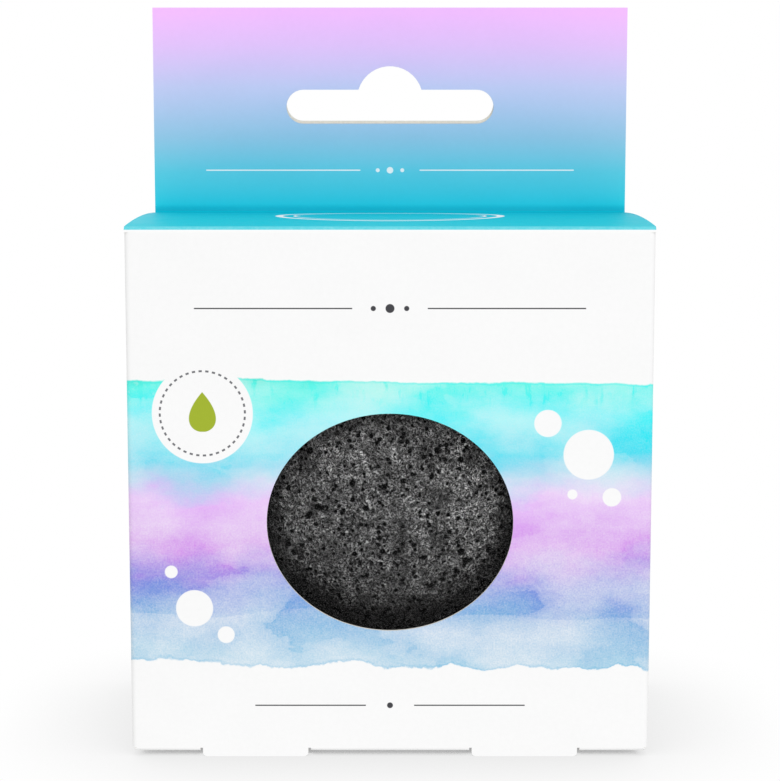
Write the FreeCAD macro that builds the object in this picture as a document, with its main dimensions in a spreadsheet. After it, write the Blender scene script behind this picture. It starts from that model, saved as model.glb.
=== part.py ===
# A konjac face sponge in its windowed hanging carton, in millimetres.
#
# The carton is one folded sheet of board: a front with an oval window, two sides, a back that runs
# up into a hanging header, a top that turns up into the header's front layer, and a bottom closure
# with a tuck flap. Each panel between two creases is a part of its own, because the creases are
# the joints. The sponge is a flat-backed dome that stands on edge and looks out of the window.
#
# X runs to the right as the front is seen, Y runs from the front to the back, and Z runs up. The
# origin is the middle of the footprint, on the surface that the two feet stand on.

import FreeCAD, Part
import os
import re

import Sketcher

document = FreeCAD.newDocument("konjac_sponge_carton")


# Driving dimensions. Every other size is worked out from these.

DRIVING = {
    "box_width": 73.0,
    "box_depth": 40.0,
    "box_height": 74.1,
    "board": 0.45,
    "crease_radius": 0.8,
    "glue": 0.1,
    "panel_gap": 0.15,
    # The header and its hanging slot
    "header_height": 31.4,
    "fold_radius": 0.2,
    "slot_width": 32.0,
    "slot_height": 5.2,
    "slot_drop": 15.1,
    "hump_radius": 5.1,
    "hump_rise": 1.1,
    "ply_shift": 0.45,
    # The top, which the springy board bows upwards
    "top_crown": 0.45,
    "top_flap_length": 24.0,
    "flap_end_gap": 1.2,
    "flap_taper": 3.0,
    # The oval window and its film
    "window_width": 34.4,
    "window_height": 30.8,
    "window_centre": 32.8,
    "film": 0.1,
    "film_margin": 6.0,
    "glue_inset": 1.0,
    # The two feet, which are cut out of the closure and stay in line with the front
    "tab_width": 14.9,
    "tab_spacing": 38.0,
    "tab_drop": 0.77,
    "tab_corner": 0.55,
    "tab_slit": 0.35,
    # The bottom closure, its tuck flap and the two dust flaps above it
    "closure_side_gap": 0.4,
    "tuck_length": 12.0,
    "tuck_side_gap": 1.0,
    "tuck_corner": 5.0,
    "tuck_gap": 0.5,
    "dust_length": 21.0,
    "dust_front_gap": 1.5,
    "dust_mitre": 17.0,
    "dust_back_gap": 2.0,
    "dust_back_taper": 4.0,
    "dust_corner": 3.0,
    "flap_edge": 0.3,
    # The flap that closes the side seam
    "seam_width": 12.0,
    "seam_end_gap": 1.6,
    "seam_inset": 0.3,
    # The sponge
    "sponge_side_gap": 2.0,
    "sponge_seat_gap": 0.3,
    "sponge_front_gap": 1.2,
    "sponge_back_gap": 0.4,
    "sponge_rim": 9.5,
    "sponge_shoulder": 18.0,
}

# Sizes that follow from the driving ones, as formulas of the sheet.
DERIVED = {
    "half_width": "box_width / 2",
    "front_face": "-box_depth / 2",
    "back_face": "box_depth / 2",
    # Levels, from the floor up
    "closure_base": "tab_drop",
    "closure_top": "closure_base + board",
    "dust_base": "closure_top + panel_gap",
    "dust_top": "dust_base + board",
    "roof": "closure_base + box_height",
    "roof_crease": "roof - crease_radius",
    "top_flap_roof": "roof - board - panel_gap",
    "header_top": "roof + header_height",
    "header_foot": "roof + fold_radius",
    # The inner layer at the back: the seam flap, and above the roof the header's front layer
    "inner_ply_back": "back_face - board - glue",
    "inner_ply_front": "inner_ply_back - board",
    "inner_radius": "crease_radius - board",
    "tuck_back": "inner_ply_front - tuck_gap",
    "tuck_front": "tuck_back - board",
    "tuck_top": "closure_base + tuck_length",
    # The closure's notches reach past the feet as it swings
    "notch_depth": "sqrt(board^2 + closure_top^2) + tab_slit",
    # The slot
    "slot_centre": "header_top - slot_drop",
    "slot_radius": "slot_height / 2",
    "slot_flat": "slot_width / 2 - slot_radius",
    "hump_half": "sqrt(hump_radius^2 - (slot_radius - hump_rise)^2)",
    # The window, above the level of the front's lower crease
    "window_middle": "closure_base + window_centre",
    "film_front": "front_face + board + glue",
    "film_back": "film_front + film",
    "film_half_width": "window_width / 2 + film_margin",
    "film_half_height": "window_height / 2 + film_margin",
    # The roof's bow: an arc of this radius through its two ends and its crown
    "bow_front": "front_face + crease_radius",
    "bow_back": "inner_ply_front - fold_radius",
    "bow_half": "(bow_back - bow_front) / 2",
    "bow_radius": "(bow_half^2 + top_crown^2) / (2 * top_crown)",
    # The sponge: a dome in front of its widest circle, whose crown and shoulder arcs are tangent
    "sponge_base": "dust_top + sponge_seat_gap",
    "sponge_room": "min(half_width - board; (top_flap_roof - board - sponge_base) / 2)",
    "sponge_radius": "sponge_room - sponge_side_gap",
    "sponge_axis": "sponge_base + sponge_radius",
    "sponge_front": "film_back + sponge_front_gap",
    "sponge_back": "tuck_front - sponge_back_gap",
    "sponge_widest": "sponge_back - sponge_rim",
    "dome_height": "sponge_widest - sponge_front",
    "dome_offset": "sponge_radius - sponge_shoulder",
    "crown_radius": "(sponge_radius^2 + dome_height^2 - 2 * sponge_radius * sponge_shoulder)"
                    " / (2 * (dome_height - sponge_shoulder))",
    "dome_blend": "crown_radius / (crown_radius - sponge_shoulder)",
    "blend_radius": "dome_offset * dome_blend",
    "blend_place": "sponge_front + crown_radius - (crown_radius - dome_height) * dome_blend",
}

sheet = document.addObject("Spreadsheet::Sheet", "Sizes")


def fill_sheet():
    """Writes one row for each size: its name, and its number or formula under that alias."""
    for row, (name, entry) in enumerate({**DRIVING, **DERIVED}.items(), start=1):
        sheet.set(f"A{row}", name)
        sheet.set(f"B{row}", f"={entry}" if isinstance(entry, str) else str(entry))
        sheet.setAlias(f"B{row}", name)
    document.recompute()


fill_sheet()
NAMES = re.compile(r"\b(" + "|".join(sorted([*DRIVING, *DERIVED], key=len, reverse=True)) + r")\b")


def bound(formula):
    """The formula as another object of the document writes it, with the sheet's name before each size."""
    return NAMES.sub(r"Sizes.\1", formula)


def size(formula):
    """What the formula comes to now, in millimetres."""
    return float(sheet.evalExpression(formula))


# Helpers for bodies and sketches

def new_body(name):
    body = document.addObject("PartDesign::Body", name)
    body.Label = name
    return body


def new_sketch(body, name, plane, height="0"):
    """A sketch on one of the body's own planes, moved along that plane's normal by a formula."""
    sketch = body.newObject("Sketcher::SketchObject", f"{body.Name}_{name}")
    origin = [f for f in body.Origin.OriginFeatures if f.Role == plane][0]
    sketch.AttachmentSupport = [(origin, "")]
    sketch.MapMode = "FlatFace"
    sketch.setExpression("AttachmentOffset.Base.z", bound(height))
    return sketch


def fix_point(sketch, curve, end, across, up):
    """Ties one end of a curve to two formulas."""
    for kind, formula in (("DistanceX", across), ("DistanceY", up)):
        made = sketch.addConstraint(Sketcher.Constraint(kind, -1, 1, curve, end, size(formula)))
        sketch.setExpression(f"Constraints[{made}]", bound(formula))


def draw(sketch, *steps):
    """Draws a closed outline. A step is (across, up) for a straight line to there, or
    (across, up, radius, turn) for an arc to there that turns left (1) or right (-1)."""
    points = [FreeCAD.Vector(size(step[0]), size(step[1]), 0) for step in steps]
    first = sketch.GeometryCount
    for i, step in enumerate(steps):
        start, end = points[i - 1], points[i]
        if len(step) == 2:
            sketch.addGeometry(Part.LineSegment(start, end))
            continue
        chord = end - start
        radius = size(step[2])
        rise = radius - max(radius**2 - chord.Length**2 / 4, 0) ** 0.5
        outward = FreeCAD.Vector(chord.y, -chord.x, 0).normalize() * step[3]
        sketch.addGeometry(Part.Arc(start, (start + end) / 2 + outward * rise, end))
    count = len(steps)
    for i, step in enumerate(steps):
        curve, following = first + i, first + (i + 1) % count
        sketch.addConstraint(
            Sketcher.Constraint("Coincident", curve, end_of(sketch, curve, points[i]),
                                following, end_of(sketch, following, points[i])))
        fix_point(sketch, curve, end_of(sketch, curve, points[i]), step[0], step[1])
        if len(step) > 2:
            made = sketch.addConstraint(Sketcher.Constraint("Radius", curve, size(step[2])))
            sketch.setExpression(f"Constraints[{made}]", bound(step[2]))


def end_of(sketch, curve, point):
    """1 or 2: which end of the curve lies at the point. An arc always runs anticlockwise."""
    starts, ends = sketch.getPoint(curve, 1), sketch.getPoint(curve, 2)
    return 1 if (starts - point).Length < (ends - point).Length else 2


def draw_oval(sketch, width, height, up):
    """Draws an ellipse on the sketch's vertical axis, from its full width and height. The longer of
    the two is its major axis, which the sketch keeps as the next curve after the ellipse."""
    centre = FreeCAD.Vector(0, size(up), 0)
    side = centre + FreeCAD.Vector(size(width) / 2, 0, 0)
    top = centre + FreeCAD.Vector(0, size(height) / 2, 0)
    level = size(width) >= size(height)
    ends = (side, top) if level else (top, side)
    oval = sketch.addGeometry(Part.Ellipse(*ends, centre))
    sketch.exposeInternalGeometry(oval)
    sketch.addConstraint(Sketcher.Constraint("PointOnObject", oval, 3, -2))
    made = sketch.addConstraint(Sketcher.Constraint("DistanceY", -1, 1, oval, 3, size(up)))
    sketch.setExpression(f"Constraints[{made}]", bound(up))
    sketch.addConstraint(Sketcher.Constraint("Horizontal" if level else "Vertical", oval + 1))
    lengths = (width, height) if level else (height, width)
    for line, length in zip((oval + 1, oval + 2), lengths):
        made = sketch.addConstraint(Sketcher.Constraint("Distance", line, size(length)))
        sketch.setExpression(f"Constraints[{made}]", bound(length))


def pad(body, sketch, length, backwards=False):
    made = body.newObject("PartDesign::Pad", f"{sketch.Name}_pad")
    made.Profile = sketch
    made.Reversed = backwards
    made.setExpression("Length", bound(length))
    sketch.Visibility = False
    document.recompute()
    return made


def cut_through(body, sketch):
    """A pocket right through the body both ways, which has to take material away."""
    before = body.Shape.Volume
    made = body.newObject("PartDesign::Pocket", f"{sketch.Name}_cut")
    made.Profile = sketch
    made.Type = "ThroughAll"
    made.Midplane = True
    document.recompute()
    if not body.Shape.Volume < before:
        raise RuntimeError(f"{sketch.Name} cuts nothing")
    return made


def round_edges(body, radius, *points):
    """Rounds the body's edges whose middles are nearest to the given points."""
    tip = body.Tip
    names = []
    for point in points:
        target = FreeCAD.Vector(*[size(p) for p in point])
        gaps = [(edge.CenterOfMass - target).Length for edge in tip.Shape.Edges]
        names.append(f"Edge{gaps.index(min(gaps)) + 1}")
    made = body.newObject("PartDesign::Fillet", f"{body.Name}_rounding")
    made.Base = (tip, names)
    made.setExpression("Radius", bound(radius))
    document.recompute()
    return made


def plate(name, low, high):
    """A plain rectangular piece between two corners, each written as three formulas."""
    made = document.addObject("Part::Box", name)
    made.Label = name
    for side, a, b in zip(("Length", "Width", "Height"), low, high):
        made.setExpression(side, bound(f"({b}) - ({a})"))
    for axis, a in zip("xyz", low):
        made.setExpression(f"Placement.Base.{axis}", bound(a))
    return made


# Front: the panel between its two side creases, with the oval window cut in it. Each side edge
# turns the corner. The two feet run on below the bottom crease, where the closure was slit.

def make_front_panel():
    body = new_body("front_panel")
    wall = new_sketch(body, "wall", "XY_Plane", "closure_top")
    bend, back = "front_face + crease_radius", "front_face + board"
    draw(wall,
         ("-half_width", bend),
         ("-half_width + crease_radius", "front_face", "crease_radius", 1),
         ("half_width - crease_radius", "front_face"),
         ("half_width", bend, "crease_radius", 1),
         ("half_width - board", bend),
         ("half_width - crease_radius", back, "inner_radius", -1),
         ("-half_width + crease_radius", back),
         ("-half_width + board", bend, "inner_radius", -1))
    pad(body, wall, "roof_crease - closure_top")
    for side in ("-", ""):
        foot = new_sketch(body, "left_foot" if side else "right_foot", "XZ_Plane", "-front_face")
        near = f"{side}tab_spacing / 2 - tab_width / 2"
        far = f"{side}tab_spacing / 2 + tab_width / 2"
        draw(foot,
             (near, "closure_top"),
             (near, "tab_corner"),
             (f"{near} + tab_corner", "0", "tab_corner", 1),
             (f"{far} - tab_corner", "0"),
             (far, "tab_corner", "tab_corner", 1),
             (far, "closure_top"))
        pad(body, foot, "board", backwards=True)
    window = new_sketch(body, "window", "XZ_Plane")
    draw_oval(window, "window_width", "window_height", "window_middle")
    cut_through(body, window)
    return body


# Sides: plain walls. The left one is shorter, because its back crease turns into the seam flap
# one layer further in.

def make_side_panels():
    low, high = "dust_top", "top_flap_roof - crease_radius"
    front = "front_face + crease_radius"
    return [
        plate("left_side_panel",
              ("-half_width", front, low),
              ("-half_width + board", "inner_ply_back - crease_radius", high)),
        plate("right_side_panel",
              ("half_width - board", front, low),
              ("half_width", "back_face - crease_radius", high)),
    ]


# Hanging slot: a long slot with round ends and a round hump over its middle.

def draw_slot(sketch, centre):
    low, high = f"{centre} - slot_radius", f"{centre} + slot_radius"
    end = "slot_flat + slot_radius"
    draw(sketch,
         ("-slot_flat", low, "slot_radius", 1),
         ("slot_flat", low),
         (end, centre, "slot_radius", 1),
         ("slot_flat", high, "slot_radius", 1),
         ("hump_half", high),
         ("0", f"{centre} + hump_rise + hump_radius", "hump_radius", 1),
         ("-hump_half", high, "hump_radius", 1),
         ("-slot_flat", high),
         (f"-({end})", centre, "slot_radius", 1))


# Back: turns the corner into the right side, stops short of the left one at a cut edge, and runs
# up past the roof as the header's back layer. Its slot sits a little high of the front layer's.

def make_back_panel():
    body = new_body("back_panel")
    wall = new_sketch(body, "wall", "XY_Plane", "closure_base")
    edge, bend, inside = "-half_width + seam_inset", "back_face - crease_radius", "back_face - board"
    draw(wall,
         (edge, inside),
         ("half_width - crease_radius", inside),
         ("half_width - board", bend, "inner_radius", -1),
         ("half_width", bend),
         ("half_width - crease_radius", "back_face", "crease_radius", 1),
         (edge, "back_face"))
    pad(body, wall, "roof_crease - closure_base")
    header = new_sketch(body, "header", "XZ_Plane", "-back_face")
    draw(header,
         ("-half_width", "roof_crease"),
         ("half_width", "roof_crease"),
         ("half_width", "header_top"),
         ("-half_width", "header_top"))
    pad(body, header, "board")
    slot = new_sketch(body, "slot", "XZ_Plane")
    draw_slot(slot, "slot_centre + ply_shift")
    cut_through(body, slot)
    return body


# Seam flap: the left side's back edge turns the corner and is glued inside the back.

def cut_corner(body, name, plane, near, far, level, way):
    """Tapers one end of a flap: nothing goes at the near place, and flap_taper at the far one."""
    wedge = new_sketch(body, name, plane)
    draw(wedge,
         (near, level),
         (far, f"({level}) {way} flap_taper"),
         (far, f"({level}) {way} (-flap_taper)"))
    cut_through(body, wedge)


def make_seam_flap():
    body = new_body("seam_flap")
    wall = new_sketch(body, "wall", "XY_Plane", "dust_top + seam_end_gap")
    bend, far = "inner_ply_back - crease_radius", "-half_width + seam_width"
    draw(wall,
         ("-half_width", bend, "crease_radius", 1),
         ("-half_width + board", bend),
         ("-half_width + crease_radius", "inner_ply_front", "inner_radius", -1),
         (far, "inner_ply_front"),
         (far, "inner_ply_back"),
         ("-half_width + crease_radius", "inner_ply_back"))
    low, high = "dust_top + seam_end_gap", "top_flap_roof - crease_radius - seam_end_gap"
    pad(body, wall, f"{high} - ({low})")
    fold = "-half_width + crease_radius"
    cut_corner(body, "low_taper", "XZ_Plane", fold, far, low, "+")
    cut_corner(body, "high_taper", "XZ_Plane", fold, far, high, "-")
    return body


# Roof: turns back from the front's top crease, bows up over the flaps below it, and ends in the
# tight fold that turns it up into the header.

def make_top_panel():
    body = new_body("top_panel")
    strip = new_sketch(body, "strip", "YZ_Plane", "-half_width")
    draw(strip,
         ("front_face + board", "roof_crease", "inner_radius", 1),
         ("front_face", "roof_crease"),
         ("bow_front", "roof", "crease_radius", -1),
         ("bow_back", "roof", "bow_radius", -1),
         ("inner_ply_front", "header_foot", "fold_radius", 1),
         ("inner_ply_back", "header_foot"),
         ("bow_back", "roof - board", "fold_radius + board", -1),
         ("bow_front", "roof - board", "bow_radius", 1))
    pad(body, strip, "box_width")
    return body


# Header front: the upright layer that carries the slot in front of the back panel's.

def make_header_front():
    body = new_body("header_front")
    layer = new_sketch(body, "layer", "XZ_Plane", "-inner_ply_back")
    draw(layer,
         ("-half_width", "header_foot"),
         ("half_width", "header_foot"),
         ("half_width", "header_top"),
         ("-half_width", "header_top"))
    pad(body, layer, "board")
    slot = new_sketch(body, "slot", "XZ_Plane")
    draw_slot(slot, "slot_centre")
    cut_through(body, slot)
    return body


# Top dust flaps: each side's top crease turns in under the roof, with a tapered free end.

def make_top_dust_flap(name, side):
    body = new_body(name)
    bend, low = "top_flap_roof - crease_radius", "top_flap_roof - board"
    wall, fold, end = [f"{side}(half_width - {reach})" for reach in ("board", "crease_radius", "top_flap_length")]
    turn = -1 if side else 1
    front, back = "front_face + board + flap_end_gap", "inner_ply_front - flap_end_gap"
    bent = new_sketch(body, "bent", "XZ_Plane", f"-({back})")
    draw(bent,
         (f"{side}half_width", bend),
         (fold, "top_flap_roof", "crease_radius", turn),
         (end, "top_flap_roof"),
         (end, low),
         (fold, low),
         (wall, bend, "inner_radius", -turn))
    pad(body, bent, f"{back} - ({front})")
    cut_corner(body, "front_taper", "XY_Plane", fold, end, front, "+")
    cut_corner(body, "back_taper", "XY_Plane", fold, end, back, "-")
    return body


# Window film: a clear rectangle glued behind the window by a frame of glue that keeps clear of
# the oval's edge.

def make_window_glue():
    body = new_body("window_adhesive")
    frame = new_sketch(body, "frame", "XZ_Plane", "-film_front")
    wide, tall = "film_half_width - glue_inset", "film_half_height - glue_inset"
    draw(frame,
         (f"-({wide})", f"window_middle - ({tall})"),
         (wide, f"window_middle - ({tall})"),
         (wide, f"window_middle + {tall}"),
         (f"-({wide})", f"window_middle + {tall}"))
    draw_oval(frame, "window_width + 2 * glue_inset", "window_height + 2 * glue_inset", "window_middle")
    pad(body, frame, "glue")
    return body


# Glue of the side seam and of the header's two layers, the second with room round the slot.

def make_header_glue():
    body = new_body("header_adhesive")
    layer = new_sketch(body, "layer", "XZ_Plane", "-(inner_ply_back + glue)")
    wide, low, high = "half_width - glue_inset", "header_foot + glue_inset", "header_top - glue_inset"
    draw(layer, (f"-({wide})", low), (wide, low), (wide, high), (f"-({wide})", high))
    clear = "slot_width / 2 + 2 * glue_inset"
    under = "slot_centre - slot_radius - 2 * glue_inset"
    over = "slot_centre + ply_shift + hump_rise + hump_radius + 2 * glue_inset"
    draw(layer, (f"-({clear})", under), (clear, under), (clear, over), (f"-({clear})", over))
    pad(body, layer, "glue")
    return body


# Bottom dust flaps: each hangs from its side's lower edge and lies above the closure. The front
# edge is mitred, so that it stays above the closure as both swing down.

def make_bottom_dust_flap(name, side):
    body = new_body(name)
    outline = new_sketch(body, "outline", "XY_Plane", "dust_base")
    hinge, end = f"{side}half_width", f"{side}(half_width - dust_length)"
    front, back = "front_face + dust_front_gap", "tuck_front - dust_back_gap"
    corners = (
        (hinge, front),
        (end, f"{front} + dust_mitre"),
        (end, f"{back} - dust_back_taper"),
        (hinge, back),
    )
    draw(outline, *corners)
    pad(body, outline, "board")
    round_edges(body, "dust_corner", *[(x, y, "dust_base + board / 2") for x, y in corners[1:3]])
    round_edges(body, "flap_edge", (hinge, f"({front} + {back}) / 2", "dust_base"))
    return body


# Closure: hinged at the front's lower edge, with a notch round each foot. The notch is as deep as
# the foot's far corner is from the hinge, so the closure swings clear of it.

def make_closure():
    body = new_body("bottom_closure")
    outline = new_sketch(body, "outline", "XY_Plane", "closure_base")
    side = "half_width - closure_side_gap"
    near = "tab_spacing / 2 - tab_width / 2 - tab_slit"
    far = "tab_spacing / 2 + tab_width / 2 + tab_slit"
    notch = "front_face + notch_depth"
    draw(outline,
         (f"-({side})", "front_face"),
         (f"-({far})", "front_face"),
         (f"-({far})", notch),
         (f"-({near})", notch),
         (f"-({near})", "front_face"),
         (near, "front_face"),
         (near, notch),
         (far, notch),
         (far, "front_face"),
         (side, "front_face"),
         (side, "tuck_back"),
         (f"-({side})", "tuck_back"))
    pad(body, outline, "board")
    outer = f"({side} + {far}) / 2"
    round_edges(body, "flap_edge",
                ("0", "tuck_back", "closure_base"),
                ("0", "front_face", "closure_base"),
                (outer, "front_face", "closure_base"),
                (f"-({outer})", "front_face", "closure_base"))
    return body


# Tuck flap: stands on the closure's rear edge and goes up inside the back.

def make_tuck_flap():
    body = new_body("tuck_flap")
    outline = new_sketch(body, "outline", "XZ_Plane", "-tuck_back")
    side = "half_width - board - tuck_side_gap"
    draw(outline,
         (f"-({side})", "closure_top"),
         (side, "closure_top"),
         (side, "tuck_top - tuck_corner"),
         (f"{side} - tuck_corner", "tuck_top", "tuck_corner", 1),
         (f"-({side} - tuck_corner)", "tuck_top"),
         (f"-({side})", "tuck_top - tuck_corner", "tuck_corner", 1))
    pad(body, outline, "board")
    return body


# Sponge: a dome with its crown to the window, a rim that rounds in behind its widest circle in
# three steps, and a flat back. Its axis runs from the front to the back, half way between the flaps.

RIM_SHARES = (1 / 3, 2 / 3)


def make_sponge():
    body = new_body("sponge")
    profile = new_sketch(body, "profile", "YZ_Plane")
    profile.setExpression("AttachmentOffset.Base.y", bound("sponge_axis"))
    rim = [(f"sponge_widest + sponge_rim * cos(90deg * {share})",
            f"sponge_radius - sponge_rim * (1 - sin(90deg * {share}))") for share in RIM_SHARES]
    draw(profile,
         ("sponge_back", "0"),
         ("sponge_back", "sponge_radius - sponge_rim"),
         *rim,
         ("sponge_widest", "sponge_radius"),
         ("blend_place", "blend_radius", "sponge_shoulder", 1),
         ("sponge_front", "0", "crown_radius", 1))
    turned = body.newObject("PartDesign::Revolution", "sponge_turned")
    turned.Profile = profile
    turned.ReferenceAxis = (profile, ["H_Axis"])
    turned.Angle = 360
    profile.Visibility = False
    return body


# The whole part, from the front backwards

parts = [
    make_front_panel(),
    *make_side_panels(),
    make_back_panel(),
    make_seam_flap(),
    make_top_panel(),
    make_header_front(),
    make_top_dust_flap("top_dust_flap_left", "-"),
    make_top_dust_flap("top_dust_flap_right", ""),
    plate("window_film",
          ("-film_half_width", "film_front", "window_middle - film_half_height"),
          ("film_half_width", "film_back", "window_middle + film_half_height")),
    make_window_glue(),
    plate("seam_adhesive",
          ("-half_width + crease_radius + glue_inset", "inner_ply_back",
           "dust_top + seam_end_gap + flap_taper + glue_inset"),
          ("-half_width + seam_width - glue_inset", "inner_ply_back + glue",
           "top_flap_roof - crease_radius - seam_end_gap - flap_taper - glue_inset")),
    make_header_glue(),
    make_bottom_dust_flap("bottom_dust_flap_left", "-"),
    make_bottom_dust_flap("bottom_dust_flap_right", ""),
    make_closure(),
    make_tuck_flap(),
    make_sponge(),
]
document.recompute()


# Every object has to be sound before anything is written.

for item in document.Objects:
    if "Invalid" in item.State or "Error" in item.State:
        raise RuntimeError(f"{item.Name} failed: {item.State}")
for part in parts:
    if part.Shape.isNull() or not part.Shape.isValid() or not part.Shape.Solids:
        raise RuntimeError(f"{part.Label} is not a sound solid")

os.makedirs("parts", exist_ok=True)
for part in parts:
    part.Shape.exportStep(f"parts/{part.Label}.step")
    box = part.Shape.optimalBoundingBox()
    print(f"{part.Label}: {len(part.Shape.Solids)} solid, {part.Shape.Volume:.1f} cubic mm,"
          f" x {box.XMin:.2f} {box.XMax:.2f}, y {box.YMin:.2f} {box.YMax:.2f}, z {box.ZMin:.2f} {box.ZMax:.2f}")
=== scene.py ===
# A konjac face sponge in its windowed hanging carton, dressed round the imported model's bodies.
# X runs to the right as the front is seen, Y to the back, and Z up. The file is in metres, and
# its sizes are written in millimetres, times MM.

import math

import bmesh
import bpy
import numpy as np
from mathutils import Matrix, Vector, kdtree, noise


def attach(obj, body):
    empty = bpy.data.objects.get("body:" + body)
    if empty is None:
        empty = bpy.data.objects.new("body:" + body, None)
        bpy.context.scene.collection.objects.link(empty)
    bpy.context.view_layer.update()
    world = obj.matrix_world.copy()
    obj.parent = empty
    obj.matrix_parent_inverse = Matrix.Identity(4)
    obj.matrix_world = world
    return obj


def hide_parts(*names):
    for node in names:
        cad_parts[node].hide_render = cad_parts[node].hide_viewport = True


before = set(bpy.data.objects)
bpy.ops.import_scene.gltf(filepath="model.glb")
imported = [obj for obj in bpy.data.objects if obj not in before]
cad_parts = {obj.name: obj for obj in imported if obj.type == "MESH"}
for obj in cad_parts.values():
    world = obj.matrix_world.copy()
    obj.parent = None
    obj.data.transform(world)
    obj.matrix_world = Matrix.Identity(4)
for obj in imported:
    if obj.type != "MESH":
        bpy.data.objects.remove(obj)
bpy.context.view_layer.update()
scene = bpy.context.scene
scene.view_settings.view_transform = "Standard"
MM = 0.001


# The studio: a white sweep under soft, even light, with one large lamp high on the right. The
# camera stands a little above the roof, close enough to see the header smaller than the front.

LENS_LENGTH, LENS_SHIFT = 96.1, -0.02
CAMERA_PLACE = (0, -0.3058, 0.091)
CAMERA_DIP = 7.3

lens = bpy.data.cameras.new("camera")
lens.lens = LENS_LENGTH
lens.shift_y = LENS_SHIFT
lens.clip_start = 0.01
lens.clip_end = 20
camera = bpy.data.objects.new("camera", lens)
camera.location = CAMERA_PLACE
camera.rotation_euler = (math.radians(90 - CAMERA_DIP), 0, 0)
scene.collection.objects.link(camera)
scene.camera = camera


class Ink:
    """One value in a finish's nodes. Operators add Math nodes, and node() adds any other kind."""

    def __init__(self, tree, socket=None):
        self.tree = tree
        self.socket = socket

    def node(self, kind, sockets=(), out=0, stops=(), **settings):
        """Adds a node: its settings and stops first, then the values or links of its sockets."""
        made = self.tree.nodes.new("ShaderNode" + kind)
        for setting, value in settings.items():
            setattr(made, setting, value)
        for i, (place, colour) in enumerate(stops):
            elements = made.color_ramp.elements
            stop = elements[i] if i < 2 else elements.new(place)
            stop.position = place
            stop.color = colour
        for name, value in dict(sockets).items():
            if isinstance(value, Ink):
                self.tree.links.new(value.socket, made.inputs[name])
            else:
                made.inputs[name].default_value = value
        return Ink(self.tree, made.outputs[out])

    def maths(self, operation, *others):
        return self.node("Math", enumerate((self, *others)), operation=operation)

    def vector_maths(self, operation, other):
        return self.node("VectorMath", {0: self, 1: other}, operation=operation)

    def __add__(self, other):
        return self.maths("ADD", other)

    def __sub__(self, other):
        return self.maths("SUBTRACT", other)

    def __mul__(self, other):
        return self.maths("MULTIPLY", other)

    def __truediv__(self, other):
        return self.maths("DIVIDE", other)

    def __rsub__(self, other):
        return self * -1 + other

    __radd__ = __add__
    __rmul__ = __mul__

    def size(self):
        return self.maths("ABSOLUTE")

    def least(self, other):
        return self.maths("MINIMUM", other)

    def most(self, other):
        return self.maths("MAXIMUM", other)

    def rise(self, low, high):
        """Goes smoothly from 0 at low to 1 at high, and from 1 to 0 where low is above high."""
        if low > high:
            return 1 - self.rise(high, low)
        return self.node("MapRange", {0: self, 1: low, 2: high}, interpolation_type="SMOOTHSTEP")

    def over(self, ground, colour):
        """Lays a colour over the ground where this mask is 1."""
        return self.node("Mix", {0: self, 6: ground, 7: colour}, 2, data_type="RGBA")

    def grey(self):
        return self.node("CombineColor", {i: self for i in range(3)})

    def feed(self, shader, socket):
        self.tree.links.new(self.socket, shader.inputs[socket])


def rgb(red, green, blue):
    """A colour as it shows on the screen, 0 to 255, as the renderer counts it."""
    shares = [part / 255 for part in (red, green, blue)]
    return [s / 12.92 if s < 0.0405 else ((s + 0.055) / 1.055) ** 2.4 for s in shares] + [1]


def seen_directly(start):
    """1 for rays from the camera, a mirror or the film, which see the sweep as plain white."""
    path = start.node("LightPath")
    kinds = [Ink(start.tree, path.socket.node.outputs[name])
             for name in ("Is Camera Ray", "Is Glossy Ray", "Is Transmission Ray")]
    return kinds[0].most(kinds[1]).most(kinds[2])


ROOM_LIGHT = 0.62
PAPER_GLOW = 0.82
SHADOW_REACH, SHADOW_DEPTH = 0.025, 0.32
CONTACT_START, CONTACT_DEPTH = 0.86, 0.32
SWEEP_RADIUS = 3
LAMPS = {
    "key_lamp": ((0.16, -0.76, 0.64), 1.35, 40),
    "back_lamp": ((-0.30, 0.75, 0.60), 0.45, 60),
}

room = bpy.data.worlds.new("room")
room.use_nodes = True
scene.world = room
walls = Ink(room.node_tree)
lit = seen_directly(walls)
(ROOM_LIGHT + lit * (1 - ROOM_LIGHT)).feed(room.node_tree.nodes["Background"], "Strength")
room.node_tree.nodes["Background"].inputs["Color"].default_value = (1, 1, 1, 1)

for name, (place, power, width) in LAMPS.items():
    sun = bpy.data.lights.new(name, "SUN")
    sun.energy = power
    sun.angle = math.radians(width)
    lamp = bpy.data.objects.new(name, sun)
    lamp.location = place
    lamp.rotation_euler = Vector(place).to_track_quat("Z", "Y").to_euler()
    scene.collection.objects.link(lamp)

sweep_mesh = bpy.data.meshes.new("sweep")
bm = bmesh.new()
bmesh.ops.create_circle(bm, cap_ends=True, segments=64, radius=SWEEP_RADIUS)
bm.to_mesh(sweep_mesh)
bm.free()
sweep = bpy.data.objects.new("sweep", sweep_mesh)
scene.collection.objects.link(sweep)

sweep_paper = bpy.data.materials.new("sweep_paper")
sweep_paper.use_nodes = True
paper = Ink(sweep_paper.node_tree)
glow = paper.node("Emission", {"Strength": PAPER_GLOW + seen_directly(paper) * (1 - PAPER_GLOW)})
from_below = paper.node("NewGeometry", out="Backfacing")
open_sky = paper.node("AmbientOcclusion", {"Distance": SHADOW_REACH}, "AO", samples=8)
hidden = (1 - open_sky) * (1 - from_below)
shade = 1 - hidden * SHADOW_DEPTH - hidden.rise(CONTACT_START, 1) * CONTACT_DEPTH
clear_paper = paper.node("BsdfTransparent", {"Color": shade.grey()})
seen_through = from_below.most(paper.node("LightPath", out="Is Camera Ray"))
paper.node("MixShader", {0: seen_through, 1: glow, 2: clear_paper}).feed(
    sweep_paper.node_tree.nodes["Material Output"], "Surface")
sweep_paper.cycles.emission_sampling = "NONE"
sweep_mesh.materials.append(sweep_paper)


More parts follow.
